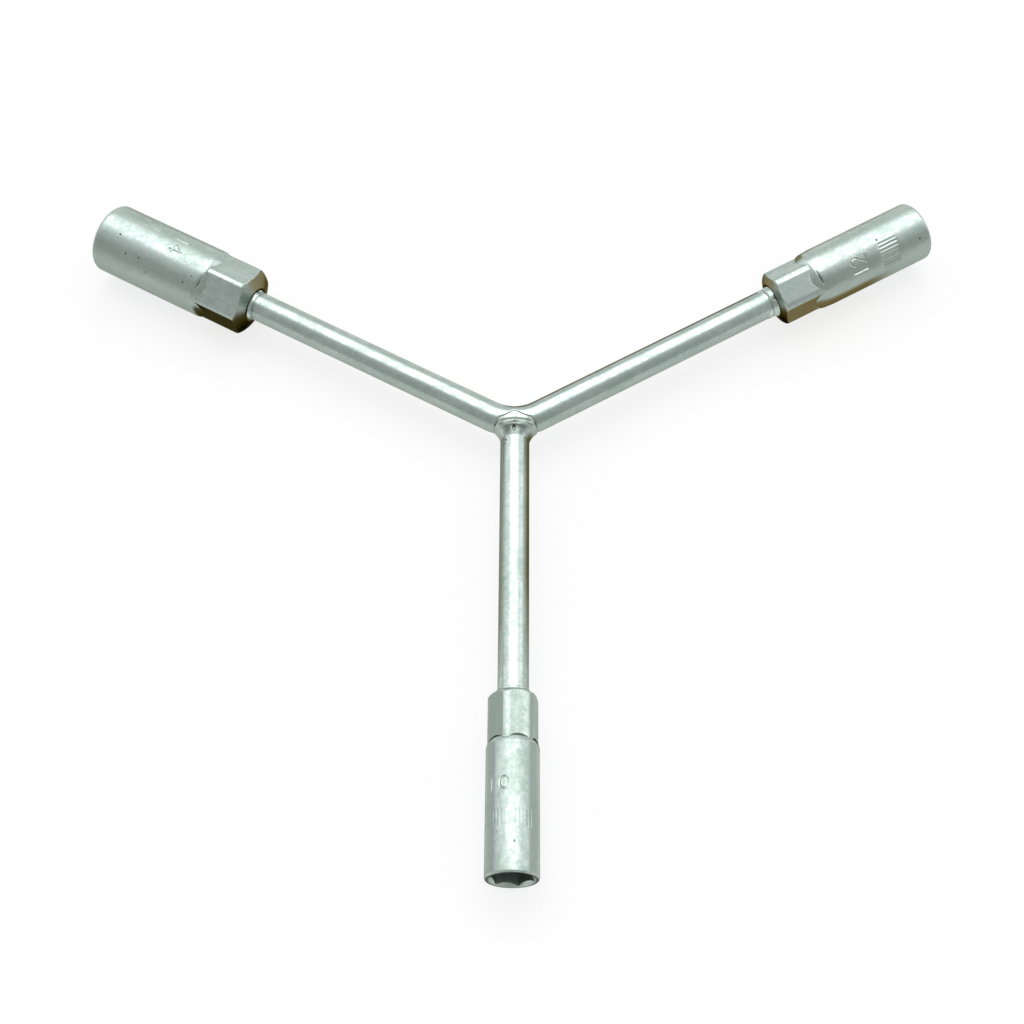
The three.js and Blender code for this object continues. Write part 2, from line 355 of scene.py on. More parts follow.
def column_angles(size, made):
    """Angles round the socket, closer together at the hexagon's corners and at the stamps."""
    fine = FINE_STEP / made.barrel_radius
    number_start = size.number_angles[0] - 2 * STROKE_HALF_WIDTH / made.barrel_radius
    number_reach = size.number_width + 2 * STROKE_HALF_WIDTH
    number_end = size.number_angles[1] + number_reach / made.barrel_radius
    found = [spaced(number_start, number_end, fine)]
    for corner in range(6):
        middle = size.corner_turn + corner * FACET_TURN
        found.append(middle + spaced(-CORNER_REACH, CORNER_REACH, CORNER_ANGLE_STEP))
    reach = size.rib_reach + size.rib_fade
    found.append(size.rib_turn + spaced(-reach, reach, RIB_STEP_SHARE * fine))
    found.append(spaced(-math.pi, math.pi, PLAIN_ANGLE_STEP)[:-1])
    angles = np.sort(turned_from(np.concatenate(found), 0))
    apart = np.diff(angles, prepend=angles[0] - 1)
    return angles[apart > fine / 2]


# Stamped numbers. Each stroke is a line of points in shares of the number's width and height,
# read from left to right, with the top towards the hub.
def arc_points(middle, radii, start, end, count=ARC_POINTS):
    """Points on an arc that runs from start to end, in degrees."""
    turn = np.radians(np.linspace(start, end, count))
    return list(zip(middle[0] + radii[0] * np.cos(turn), middle[1] + radii[1] * np.sin(turn)))


DIGIT_STROKE_SHARES = {
    "0": [arc_points((0.5, 0.5), (0.5, 0.5), 0, 360, RING_POINTS)],
    "1": [[(0, 0), (0, 1)]],
    "2": [arc_points((0.5, 0.72), (0.46, 0.28), 165, -35) + [(0.04, 0), (1, 0)]],
    "4": [[(1, 0.28), (0, 0.28), (0.72, 1), (0.72, 0)]],
}


def stroke_distance(across, above, line):
    """How far each point of the surface lies from a stroke."""
    nearest = np.full(np.broadcast(across, above).shape, np.inf)
    for (x0, y0), (x1, y1) in zip(line[:-1], line[1:]):
        dx, dy = x1 - x0, y1 - y0
        share = np.clip(((across - x0) * dx + (above - y0) * dy) / (dx * dx + dy * dy), 0, 1)
        nearest = np.minimum(nearest, np.hypot(across - x0 - share * dx, above - y0 - share * dy))
    return nearest


def digit_distance(digit, across, above, width, height):
    """How far each point lies from the nearest stroke of a digit of this width and height."""
    nearest = np.inf
    for line in DIGIT_STROKE_SHARES[digit]:
        sized = [(x * width, y * height) for x, y in line]
        nearest = np.minimum(nearest, stroke_distance(across, above, sized))
    return nearest


def number_depth(size, made, place, angle):
    """How deep the stamped number is pressed in, with a low lip beside each stroke."""
    above = size.number_place - place
    pressed = 0.0
    digits = zip(size.number, size.number_angles, (0.0, size.number_width), size.number_depths)
    for digit, start, width, depth in digits:
        across = turned_from(angle, start) * made.barrel_radius
        nearest = digit_distance(digit, across, above, width, size.number_height)
        groove = smooth_step(STROKE_HALF_WIDTH, 0, nearest) * depth
        lip = np.exp(-(((nearest - STROKE_HALF_WIDTH) / STROKE_LIP_WIDTH) ** 2)) * STROKE_LIP
        pressed = pressed + groove - lip
    return pressed


def rib_depth(size, made, place, angle):
    """A band of short grooves pressed along the barrel, strongest in its middle."""
    from_middle = turned_from(angle, size.rib_turn)
    turn = from_middle * made.barrel_radius / size.rib_pitch * 2 * math.pi
    groove = (0.5 - 0.5 * np.cos(turn)) ** RIB_SHARPNESS
    off = np.abs(from_middle)
    faint = smooth_step(size.rib_reach + size.rib_fade, size.rib_reach, off)
    strong_fade = size.rib_fade * RIB_STRONG_FADE_SHARE
    strong = smooth_step(size.rib_reach + strong_fade, size.rib_reach, off)
    around = RIB_FAINT_SHARE * faint + (1 - RIB_FAINT_SHARE) * strong
    rise = smooth_step(size.rib_place - EDGE_BLEND, size.rib_place + 2 * EDGE_BLEND, place)
    end = size.rib_place + size.rib_length
    fall = smooth_step(end + EDGE_BLEND, end - 2 * EDGE_BLEND, place)
    return size.rib_depth * groove * around * rise * fall


def socket_rings(size, made, angle):
    """The socket's closed outline as rings: seat bore, back, outside, mouth, hexagon and hole."""
    flat = np.ones_like(angle)
    places, radii = [], []

    def add(place, radius):
        places.append(place * flat)
        radii.append(radius * flat)

    for radius in (made.seat_radius / 2, made.seat_radius - CREASE):
        add(size.seat_depth, radius)
    for place in spaced(size.seat_depth - CREASE, CREASE, 2 * PLAIN_STEP):
        add(place, made.seat_radius)
    add(0, made.seat_radius + CREASE)
    add(0, made.back_radius - CREASE)
    for place in outer_places(size, made):
        radius = outer_radius(size, made, place, angle)
        radius = radius - number_depth(size, made, place, angle)
        radius = radius - rib_depth(size, made, place, angle)
        add(place, radius)
    for turn in np.linspace(0, math.pi / 2, ARC_STEPS + 1)[1:]:
        place = size.length - size.mouth_round * (1 - math.sin(turn))
        add(place, made.barrel_radius - size.mouth_round * (1 - math.cos(turn)))
    nut = hexagon_radius(made.nut_flats, size.corner_turn, angle)
    bevel_radius = made.nut_corner + size.mouth_bevel
    add(size.length, bevel_radius + CREASE)
    depth = bevel_radius - made.nut_flats / 2
    for place in spaced(CREASE, depth + EDGE_STEP, EDGE_STEP):
        add(size.length - place, smooth_max(bevel_radius - place, nut, CREASE))
    for place in spaced(depth + PLAIN_STEP, size.broach_depth - CREASE, PLAIN_STEP):
        add(size.length - place, nut)
    hole = made.nut_flats / 2 - CREASE
    add(size.length - size.broach_depth, hole)
    point = made.bore_bottom + hole / math.tan(DRILL_POINT_ANGLE / 2)
    for place in spaced(size.length - size.broach_depth - PLAIN_STEP, point, PLAIN_STEP):
        add(place, hole)
    add((point + made.bore_bottom) / 2, hole / 2)
    return np.array(places), np.array(radii)


def tilted_back(size, places, radii, angle):
    """The back end leans a little, and the lean dies out along the shank."""
    lean = math.tan(size.back_tilt) * radii * np.cos(turned_from(angle, size.back_tilt_towards))
    return places - lean * smooth_step(size.shank_length, size.back_cone, places)


def socket_piece(size, material):
    """A whole socket with its shank, and its lean at the back."""
    made = worked_out(size)
    angle = column_angles(size, made)
    places, radii = socket_rings(size, made, angle)
    places = tilted_back(size, places, radii, angle)
    arm = Arm(HUB, size.bearing)
    piece = closed_mesh("finished_" + size.node, arm.points(size.bar_reach + places, radii, angle))
    finish_piece(piece, size.node, material)


# Bars

# The seam's sizes are in millimetres, and its fade is the share that it loses at its sides
BAR_COLUMNS = 216
SEAM_DEPTH = 0.36
SEAM_WIDTH = 0.23
SEAM_REACH = 10
SEAM_FADE = 0.55
SLOPE_STEP = 0.1
STEEPEST_SLOPE = 2.0


def seam_depth(points):
    """The thin groove in the bent bar where the crown of the hub weld ends on it."""
    stem = Arm(HUB, SOCKET_10.bearing)
    from_hub = points - HUB
    place = from_hub @ stem.along
    from_axis = np.hypot(from_hub @ stem.side, from_hub @ UP)
    angle = np.arctan2(from_hub @ stem.side, from_hub @ UP)
    crown = crown_radius(place, angle)
    slope = (crown_radius(place + SLOPE_STEP, angle) - crown) / SLOPE_STEP
    width = SEAM_WIDTH * np.hypot(1, np.clip(slope, -STEEPEST_SLOPE, STEEPEST_SLOPE))
    depth = SEAM_DEPTH * (1 - SEAM_FADE * np.sin(angle) ** 2)
    return depth * np.exp(-(((from_axis - crown) / width) ** 2))


def arm_bar_piece(material):
    """One bar bent into both upper arms, as rings square to its axis."""
    turn = math.pi - ARM_SPREAD
    tangent = BEND_RADIUS * math.tan(turn / 2)
    left = SOCKET_14.bar_reach + SOCKET_14.seat_depth - SEAT_CLEARANCE - tangent
    right = SOCKET_12.bar_reach + SOCKET_12.seat_depth - SEAT_CLEARANCE - tangent
    bend = BEND_RADIUS * turn
    centre = np.array([0, BEND_RADIUS / math.cos(turn / 2), 0])
    angle = np.linspace(0, 2 * math.pi, BAR_COLUMNS, endpoint=False)
    near = spaced(-SEAM_REACH, bend + SEAM_REACH, FINE_STEP)
    before = spaced(-left, -SEAM_REACH, BAR_STEP)[:-1]
    after = bend + spaced(SEAM_REACH, right, BAR_STEP)[1:]
    steps = np.concatenate([before, near, after])
    rings = []
    for step in steps:
        swing = np.clip(step / bend, 0, 1) * turn - turn / 2
        ahead = np.array([math.cos(swing), math.sin(swing), 0])
        outward = np.array([math.sin(swing), -math.cos(swing), 0])
        straight = min(step, 0) + max(step - bend, 0)
        middle = HUB + centre + BEND_RADIUS * outward + straight * ahead
        across = np.cos(angle)[:, None] * UP + np.sin(angle)[:, None] * outward
        depth = seam_depth(middle + ARM_BAR_RADIUS * across)[:, None]
        rings.append(middle + (ARM_BAR_RADIUS - depth) * across)
    piece = closed_mesh("finished_arm_bar", np.array(rings))
    finish_piece(piece, "arm_bar", material)


STEM_RING_PLACE = 75.2
STEM_RING_DEPTH = 0.05
STEM_RING_WIDTH = 0.25
STEM_RING_REACH = 1
STEM_RING_STEP = 0.1


def stem_bar_piece(material):
    """The straight stem, with a faint ring turned into it before the socket."""
    arm = Arm(HUB, SOCKET_10.bearing)
    angle = np.linspace(0, 2 * math.pi, BAR_COLUMNS, endpoint=False)
    end = SOCKET_10.bar_reach + SOCKET_10.seat_depth - SEAT_CLEARANCE
    near = STEM_RING_PLACE - STEM_RING_REACH
    far = STEM_RING_PLACE + STEM_RING_REACH
    before = spaced(0, near, BAR_STEP)[:-1]
    after = spaced(far, end, BAR_STEP)[1:]
    place = np.concatenate([before, spaced(near, far, STEM_RING_STEP), after])
    groove = STEM_RING_DEPTH * np.exp(-(((place - STEM_RING_PLACE) / STEM_RING_WIDTH) ** 2))
    rings = arm.points(place[:, None], (STEM_BAR_RADIUS - groove)[:, None], angle[None, :])
    piece = closed_mesh("finished_stem_bar", rings)
    finish_piece(piece, "stem_bar", material)


# Welds

# The hub weld, in millimetres along the stem from the corner and out from the stem's axis. Each
# step on its top is where it starts, where it ends and how high it rises.
WELD_COLUMNS = 160
CROWN_START = -3.6
CROWN_PLACE = 1.2
CROWN_LENGTH = 6
CROWN_RADII = (5.95, 6.45)
CROWN_BLUNTNESS = 4
CROWN_SQUARENESS = 2.9
TOE_PLACE = 1.75
TOE_LENGTH = 3.9
TOE_CURVE = 1.8
TOE_RADIUS = STEM_BAR_RADIUS - 0.05
TOE_SQUARENESS = 2
SQUARENESS_FADE = (-0.5, 3)
TOP_START_RADIUS = 3.2
TOP_STEPS = ((-3.6, -2.75, 1.38), (-0.9, 0.25, 0.25), (0.75, 1.5, 0.14))
START_BEND = 4.2
START_ROUND = 0.3
START_FADE = (-2, 0)
RIDGE_BEND = 1.75
LUMP_HEIGHT = 0.06
LUMP_WAVES = ((3, 0.7), (2, 1.1))
LUMP_RISE = (-1, 1)
LUMP_FALL = (5, 3)
CRATER = SimpleNamespace(
    place=1.95,
    length=2.3,
    angle=-0.03,
    width=0.55,
    width_shares=(0.1, 1.1),
    start_shares=(0, 0.1),
    end_shares=(1, 0.3),
    depth=0.5,
    floor=4.25,
    # The spots paint shade on the crater's bottom
    spots=((2.2, 0.85), (2.6, 0.7), (3.0, 0.5), (3.4, 0.36)),
    spots_angle=-2,
)
CRATER_LIP = SimpleNamespace(place=1.75, width=0.23, reach=0.85, height=0.2)


def side_radius(place, angle):
    """How far the crown of the hub weld stands from the stem's axis at its two sides."""
    widest = np.where(angle < 0, *CROWN_RADII)
    share = np.clip((CROWN_PLACE - place) / CROWN_LENGTH, 0, 1)
    crown = widest * np.sqrt(1 - share**CROWN_BLUNTNESS)
    run = np.clip((place - CROWN_PLACE) / (TOE_LENGTH + TOE_PLACE - CROWN_PLACE), 0, 1)
    toe = TOE_RADIUS + (widest - TOE_RADIUS) * (1 - run) ** TOE_CURVE
    return np.maximum(np.where(place < CROWN_PLACE, crown, toe), CREASE)


def top_radius(place, angle):
    """The same on top, where the weld lies in low steps that bend down to its sides."""
    past_start = smooth_step(*START_FADE, place)
    lean = START_BEND * (np.hypot(np.sin(angle), START_ROUND) - START_ROUND)
    bent = place - lean * (1 - past_start) - RIDGE_BEND * (1 - np.cos(angle)) * past_start
    crown = TOP_START_RADIUS + sum(rise * smooth_step(low, high, bent) for low, high, rise in TOP_STEPS)
    run = np.clip((place - TOE_PLACE) / TOE_LENGTH, 0, 1)
    return TOE_RADIUS + (crown - TOE_RADIUS) * (1 - run) ** TOE_CURVE


def crown_radius(place, angle):
    """The hub weld's surface: low and broad at the crown, and round at the toe."""
    fade = smooth_step(*SQUARENESS_FADE, place)
    power = CROWN_SQUARENESS + (TOE_SQUARENESS - CROWN_SQUARENESS) * fade
    across = np.abs(np.sin(angle) / side_radius(place, angle)) ** power
    upward = np.abs(np.cos(angle) / top_radius(place, angle)) ** power
    return (across + upward) ** (-1 / power)


def lump_height(place, angle):
    """Low uneven lumps on the body of the hub weld."""
    swell = smooth_step(*LUMP_RISE, place) * smooth_step(*LUMP_FALL, place)
    first, second = (np.sin(turns * angle + waves * place) for turns, waves in LUMP_WAVES)
    return LUMP_HEIGHT * first * second * swell


def crater_depth(place, angle, radius):
    """The hollow on top of the hub weld, narrower down the stem, less the lip before it."""
    around = turned_from(angle, CRATER.angle) * radius
    run = (place - CRATER.place) / CRATER.length
    narrowest, widest = CRATER.width_shares
    width = CRATER.width * np.clip(widest - run, narrowest, widest)
    ends = smooth_step(*CRATER.start_shares, run) * smooth_step(*CRATER.end_shares, run)
    hollow = np.exp(-((around / width) ** 2)) * ends
    from_lip = (place - CRATER_LIP.place) / CRATER_LIP.width
    lip = np.exp(-(from_lip**2 + (around / CRATER_LIP.reach) ** 2))
    return CRATER.depth * hollow - CRATER_LIP.height * lip


def hub_weld_piece(material):
    """The crown over the bend and the toe down the stem, with a crater on top."""
    arm = Arm(HUB, SOCKET_10.bearing)
    angle = np.linspace(-math.pi, math.pi, WELD_COLUMNS, endpoint=False)[None, :]
    place = spaced(CROWN_START, TOE_PLACE + TOE_LENGTH, FINE_STEP)[:, None]
    radius = crown_radius(place, angle)
    radius = radius + lump_height(place, angle) - crater_depth(place, angle, radius)
    piece = closed_mesh("finished_hub_weld", arm.points(place, radius, angle))
    finish_piece(piece, "hub_weld", material)


# The neck welds, in millimetres. A wave of their wander is its height, its turns and its start.
BEAD_STEPS = 16
BEAD_FULLNESS = 0.6
BEAD_SINK = 0.05
COLLAR_ROOT = 0.5
COLLAR_RISE_SHARE = 0.4
COLLAR_LAP = 0.2
WANDER_WAVES = ((0.12, 3, 1), (0.07, 7, 2))
CLIMB_CURVE = 4
CLIMB_GAPS = ((math.radians(-27), 0.15), (math.radians(62), 0.3))
CLIMB_GAP_SHARE = 0.6


def neck_weld_outline(size, angle):
    """The places and radii of the beads' surface, from the bar up to the back of the shank."""
    length = size.bead_count * size.bead_length
    share = np.linspace(0, 1, size.bead_count * BEAD_STEPS + 1)[:, None]
    wander = sum(height * np.sin(turns * angle + start) for height, turns, start in WANDER_WAVES)
    swell = np.abs(np.sin(share * size.bead_count * math.pi)) ** BEAD_FULLNESS
    place = share * (length + COLLAR_LAP) - length + wander * (1 - share)
    rise = worked_out(size).seat_radius + COLLAR_RISE_SHARE * size.back_rim - size.bar_radius
    gaps = sum(np.exp(-((turned_from(angle, middle) / width) ** 2)) for middle, width in CLIMB_GAPS)
    climb = rise * share**CLIMB_CURVE * (1 - CLIMB_GAP_SHARE * gaps)
    radius = size.bar_radius - BEAD_SINK + size.bead_height * swell * (1 + 2 * wander) + climb
    return place, radius


def neck_weld_piece(size, material):
    """Beads of weld round the bar, the last of which runs up onto the back of the shank."""
    arm = Arm(HUB, size.bearing)
    angle = np.linspace(-math.pi, math.pi, WELD_COLUMNS, endpoint=False)[None, :]
    place, radius = neck_weld_outline(size, angle)
    inner = np.full_like(radius[:1], size.bar_radius - COLLAR_ROOT)
    radius = np.vstack([inner, radius, inner])
    place = np.vstack([place[:1], place, place[-1:]])
    lean = tilted_back(size, place, radius, angle) - place
    place = place + lean * np.clip(1 + place / (size.bead_count * size.bead_length), 0, 1)
    points = arm.points(size.bar_reach + place, radius, angle)
    piece = closed_mesh("finished_" + size.weld_node, points, loop=True)
    finish_piece(piece, size.weld_node, material)


# Materials


class Nodes:
    """Adds nodes to a tree and joins them, with plain numbers and sockets taken alike."""

    def __init__(self, tree):
        self.tree = tree
        tree.nodes.clear()

    def give(self, socket, value):
        if isinstance(value, bpy.types.NodeSocket):
            self.tree.links.new(value, socket)
        else:
            socket.default_value = value

    def add(self, kind, output=0, settings=None, **inputs):
        """A new node's output. Its inputs go by their names, or by their numbers, such as i0."""
        node = self.tree.nodes.new(kind)
        for name, value in (settings or {}).items():
            setattr(node, name, value)
        for name, value in inputs.items():
            numbered = name[0] == "i" and name[1:].isdigit()
            self.give(node.inputs[int(name[1:]) if numbered else name], value)
        return None if output is None else node.outputs[output]

    def math(self, operation, first, second=0.0, third=0.0):
        settings = {"operation": operation}
        return self.add("ShaderNodeMath", 0, settings, i0=first, i1=second, i2=third)

    def times(self, first, second):
        return self.math("MULTIPLY", first, second)

    def vector(self, operation, first, second, output="Vector"):
        return self.add("ShaderNodeVectorMath", output, {"operation": operation}, i0=first, i1=second)

    def mix(self, share, first, second):
        """A blend of two colours, which are inputs 6 and 7 of a mix node, and its output 2."""
        settings = {"data_type": "RGBA"}
        return self.add("ShaderNodeMix", 2, settings, i0=share, i6=first, i7=second)

    def ramp(self, value, low, high, start=0.0, end=1.0):
        """A smooth change from start to end while the value goes from low to high."""
        settings = {"interpolation_type": "SMOOTHSTEP"}
        given = {"i0": value, "i1": low, "i2": high, "i3": start, "i4": end}
        return self.add("ShaderNodeMapRange", 0, settings, **given)

    def noise(self, where, scale, detail, roughness):
        given = {"Vector": where, "Scale": scale, "Detail": detail, "Roughness": roughness}
        return self.add("ShaderNodeTexNoise", **given)


def colour(red, green, blue):
    return (red, green, blue, 1.0)


PLATE_COLOUR = colour(0.575, 0.655, 0.625)
WORN_COLOUR = colour(0.74, 0.80, 0.77)
DULL_COLOUR = colour(0.41, 0.51, 0.47)
# From here to the edge tint, the colours are painted shade and painted reflections: duller flanks, the
# darker far side and toe, olive and brown reflections of the ground, dark steps, and dark shade in
# recesses.
SIDE_SHADE_COLOUR = colour(0.34, 0.41, 0.375)
FAR_SHADE_COLOUR = colour(0.22, 0.26, 0.25)
TOE_SHADE_COLOUR = colour(0.21, 0.25, 0.23)
OLIVE_REFLECTION_COLOUR = colour(0.20, 0.165, 0.075)
STRIP_REFLECTION_COLOUR = colour(0.12, 0.115, 0.045)
BROWN_REFLECTION_COLOUR = colour(0.115, 0.10, 0.06)
STEP_SHADE_COLOUR = colour(0.07, 0.095, 0.085)
RECESS_SHADE_COLOUR = colour(0.07, 0.075, 0.05)
DARK_SHADE_COLOUR = colour(0.058, 0.05, 0.019)
EDGE_TINT = colour(0.70, 0.71, 0.66)

# Painted shade and painted reflections, each laid on the faces that look one way. One darker than the
# limit below also dulls the shine at glancing angles, which is painted reflection too.
DARK_PAINT_LIMIT = 0.3
GLANCING_SHARE = 0.55
DOWN = (0, 0, -1)
FLANK_TURN = (-0.68, -0.4)
SIDE_TURN = (-0.75, -0.55)
CONE_PAINT_END = (4, 6)
BARREL_PAINT_START = (1, 3)
LEFT_PAINT_END = (106, 107.4)
RIGHT_PAINT_END = (116, 128)
SLIM_STEP = ((95, 96), (97.6, 98.3))


def painted_film(way, low, high, share, shade, start=None, end=None, side=None):
    """Painted shade or a painted reflection on the faces that look one way. It grows from low to high,
    the cosines of the turn from that way. Start and end are where it comes and goes along the arm, in
    millimetres. It leaves out the faces that turn from its side."""
    return SimpleNamespace(
        way=way, low=low, high=high, share=share, shade=shade, start=start, end=end, side=side
    )


def painted_share(nodes, painted, normal, reach):
    """How much of the painted shade or reflection lies on each point, from its normal and its reach
    along the arm.
    """
    facing = nodes.vector("DOT_PRODUCT", normal, painted.way, "Value")
    share = nodes.ramp(facing, painted.low, painted.high, 0, painted.share)
    if painted.start:
        near, full = painted.start
        share = nodes.times(share, nodes.ramp(reach, near * MM, full * MM))
    if painted.end:
        full, far = painted.end
        share = nodes.times(share, nodes.ramp(reach, far * MM, full * MM))
    if painted.side is not None:
        turned = nodes.vector("DOT_PRODUCT", normal, painted.side, "Value")
        share = nodes.times(share, nodes.ramp(turned, *SIDE_TURN))
    return share


def with_painted_light(nodes, body, found, painted_films):
    """The colours of the plate and of its glancing shine, under the painted shade and painted
    reflections.
    """
    normal = nodes.add("ShaderNodeNewGeometry", "Normal")
    tint = EDGE_TINT
    for painted in painted_films:
        share = painted_share(nodes, painted, normal, found.reach)
        body = nodes.mix(share, body, painted.shade)
        if max(painted.shade[:3]) < DARK_PAINT_LIMIT:
            tint = nodes.mix(nodes.times(share, GLANCING_SHARE), tint, painted.shade)
    return body, tint


# The plate's patterns, each with its scale, detail and roughness. The drawn ones are longer along
# the arm. In this group and the next three, reaches and heights are in metres.
CLOUDS = (230, 4, 0.6)
BLOTCHES = (620, 4, 0.65)
SPECKLE = (1700, 3, 0.6)
GRAIN = (6000, 2, 0.5)
WAVES = (120, 2, 0.5)
DRAWN_SHARE = 0.3

# Pits and dents with ragged edges
RAGGED_SCALE = 1500.0
RAGGED_REACH = 0.0007
PIT_SCALE = 260
PIT_SHARE = 0.06
PIT_SIZE = 0.1
PIT_EDGE = (-0.01, 0.05)

# Where the cloudy colour, the specks, the worn edges and the painted shade in creases, grooves and pits
# start and are full
CLOUD_SHARE = 0.55
BLOTCH_SHARE = 0.45
TONE_RANGE = (0.38, 0.62)
WORN_SPECKS = (0.54, 0.75)
DULL_SPECKS = (0.44, 0.27)
WORN_EDGES = (0.53, 0.60)
WORN_EDGE_SHARE = 0.75
GROOVES = (0.485, 0.44)
GROOVE_SHADE_SHARE = 0.75
PIT_SHADE_SHARE = 0.9
CREASES = (0.78, 0.35)
CREASE_REACH = 0.0014
CREASE_SAMPLES = 8

# Gloss and relief
ROUGHER = 0.06
SMOOTHER = 0.04
SPECK_GLOSS = (0.35, 0.7, 0.05, -0.05)
RELIEF_SHARES = (("grain", 0.15), ("speckle", 0.6), ("waves", 3.0), ("blotches", 0.8))
PIT_RELIEF_SHARE = 3.0
RELIEF_HEIGHT = 0.00002


def patterns(nodes, arm):
    """Where each point of the surface is, and the noise patterns that the plate is made of."""
    place = nodes.add("ShaderNodeTexCoord", "Object")
    turn = math.atan2(arm.along[1], arm.along[0])
    turned = nodes.add("ShaderNodeMapping", Vector=place, Rotation=(0, 0, -turn))
    drawn = nodes.add("ShaderNodeMapping", Vector=turned, Scale=(DRAWN_SHARE, 1, 1))
    along = nodes.add("ShaderNodeSeparateXYZ", "X", Vector=turned)
    return SimpleNamespace(
        place=place,
        turned=turned,
        reach=nodes.math("SUBTRACT", along, float(arm.hub @ arm.along) * MM),
        clouds=nodes.noise(drawn, *CLOUDS),
        blotches=nodes.noise(turned, *BLOTCHES),
        speckle=nodes.noise(turned, *SPECKLE),
        grain=nodes.noise(turned, *GRAIN),
        waves=nodes.noise(drawn, *WAVES),
    )


def spot_share(nodes, where, arm, spots):
    """Single dark dents, each given as its place along the arm, its distance out from the axis,
    its angle in degrees and its width."""
    found = 0.0
    for place, radius, angle, width in spots:
        middle = arm.points(np.array(place), np.array(radius), np.array(math.radians(angle))) * MM
        apart = nodes.vector("DISTANCE", where, middle, "Value")
        found = nodes.math("MAXIMUM", found, nodes.ramp(apart, width * MM, 0.5 * width * MM))
    return found


def pit_share(nodes, found, arm, spots):
    """The small pits that the plate has here and there, and the single dents."""
    shift = nodes.add("ShaderNodeTexNoise", "Color", Vector=found.turned, Scale=RAGGED_SCALE)
    shift = nodes.vector("SUBTRACT", shift, (0.5, 0.5, 0.5))
    settings = {"operation": "SCALE"}
    shift = nodes.add("ShaderNodeVectorMath", 0, settings, i0=shift, Scale=RAGGED_REACH)
    ragged = nodes.vector("ADD", found.turned, shift)
    cells = nodes.add("ShaderNodeTexVoronoi", "Color", Vector=ragged, Scale=PIT_SCALE, Randomness=1.0)
    chance = nodes.add("ShaderNodeSeparateColor", Color=cells)
    size = nodes.ramp(chance, 1 - PIT_SHARE, 1, 0, PIT_SIZE)
    pit = nodes.ramp(nodes.math("SUBTRACT", size, cells.node.outputs["Distance"]), *PIT_EDGE)
    dents = spot_share(nodes, nodes.vector("ADD", found.place, shift), arm, spots)
    return nodes.math("MAXIMUM", pit, dents)


def plate_tone(nodes, found):
    """How bright the cloudy colour is, from 0 to 1."""
    clouds = nodes.times(found.clouds, CLOUD_SHARE)
    blotches = nodes.times(found.blotches, BLOTCH_SHARE)
    return nodes.ramp(nodes.math("ADD", clouds, blotches), *TONE_RANGE)


def plate_colour(nodes, found, tone, mottle, point):
    """Cloudy plate with bright and dull specks, and bright worn edges."""
    body = nodes.mix(tone, DULL_COLOUR, PLATE_COLOUR)
    body = nodes.mix(nodes.ramp(found.speckle, *WORN_SPECKS, 0, mottle), body, WORN_COLOUR)
    body = nodes.mix(nodes.ramp(found.speckle, *DULL_SPECKS, 0, mottle), body, DULL_COLOUR)
    edge = nodes.ramp(point, *WORN_EDGES)
    return nodes.mix(nodes.times(edge, WORN_EDGE_SHARE), body, WORN_COLOUR)


def recess_shade_share(nodes, point, pit, crease_share):
    """Painted shade in the creases between pieces, found by ambient occlusion, and in grooves, pits and
    dents.
    """
    samples = {"samples": CREASE_SAMPLES}
    open_share = nodes.add("ShaderNodeAmbientOcclusion", "AO", samples, Distance=CREASE_REACH)
    crease = nodes.times(nodes.ramp(open_share, *CREASES), crease_share)
    groove = nodes.times(nodes.ramp(point, *GROOVES), GROOVE_SHADE_SHARE)
    recess_shade = nodes.math("MAXIMUM", crease, groove)
    return nodes.math("MAXIMUM", recess_shade, nodes.times(pit, PIT_SHADE_SHARE))


def relief(nodes, found, pit):
    """The fine grain, the specks and waves, and the pits, as a bumped normal."""
    height = 0.0
    for name, share in RELIEF_SHARES:
        height = nodes.math("ADD", height, nodes.times(getattr(found, name), share))
    height = nodes.math("SUBTRACT", height, nodes.times(pit, PIT_RELIEF_SHARE))
    return nodes.add("ShaderNodeBump", Strength=1.0, Distance=RELIEF_HEIGHT, Height=height)


def plated_material(name, roughness, mottle, crease_share, arm, painted_films, spots):
    """Satin plate: cloudy colour and gloss, fine grain, small pits, painted shade in creases, grooves
    and pits, painted shade and reflections by facing, worn edges.
    """
    material = bpy.data.materials.new(name)
    material.use_nodes = True
    nodes = Nodes(material.node_tree)
    found = patterns(nodes, arm)
    pit = pit_share(nodes, found, arm, spots)
    point = nodes.add("ShaderNodeNewGeometry", "Pointiness")
    tone = plate_tone(nodes, found)
    body = plate_colour(nodes, found, tone, mottle, point)
    # Painted shade and painted reflections over the plate's colour and its glancing shine
    body, tint = with_painted_light(nodes, body, found, painted_films)
    # Painted shade in creases, grooves, pits and dents
    body = nodes.mix(recess_shade_share(nodes, point, pit, crease_share), body, RECESS_SHADE_COLOUR)
    rough = nodes.ramp(tone, 0, 1, roughness + ROUGHER, roughness - SMOOTHER)
    rough = nodes.math("ADD", rough, nodes.ramp(found.speckle, *SPECK_GLOSS))
    bump = relief(nodes, found, pit)
    looks = {"Base Color": body, "Specular Tint": tint, "Roughness": rough, "Normal": bump}
    shader = nodes.add("ShaderNodeBsdfPrincipled", Metallic=1.0, **looks)
    nodes.add("ShaderNodeOutputMaterial", output=None, Surface=shader)
    return material


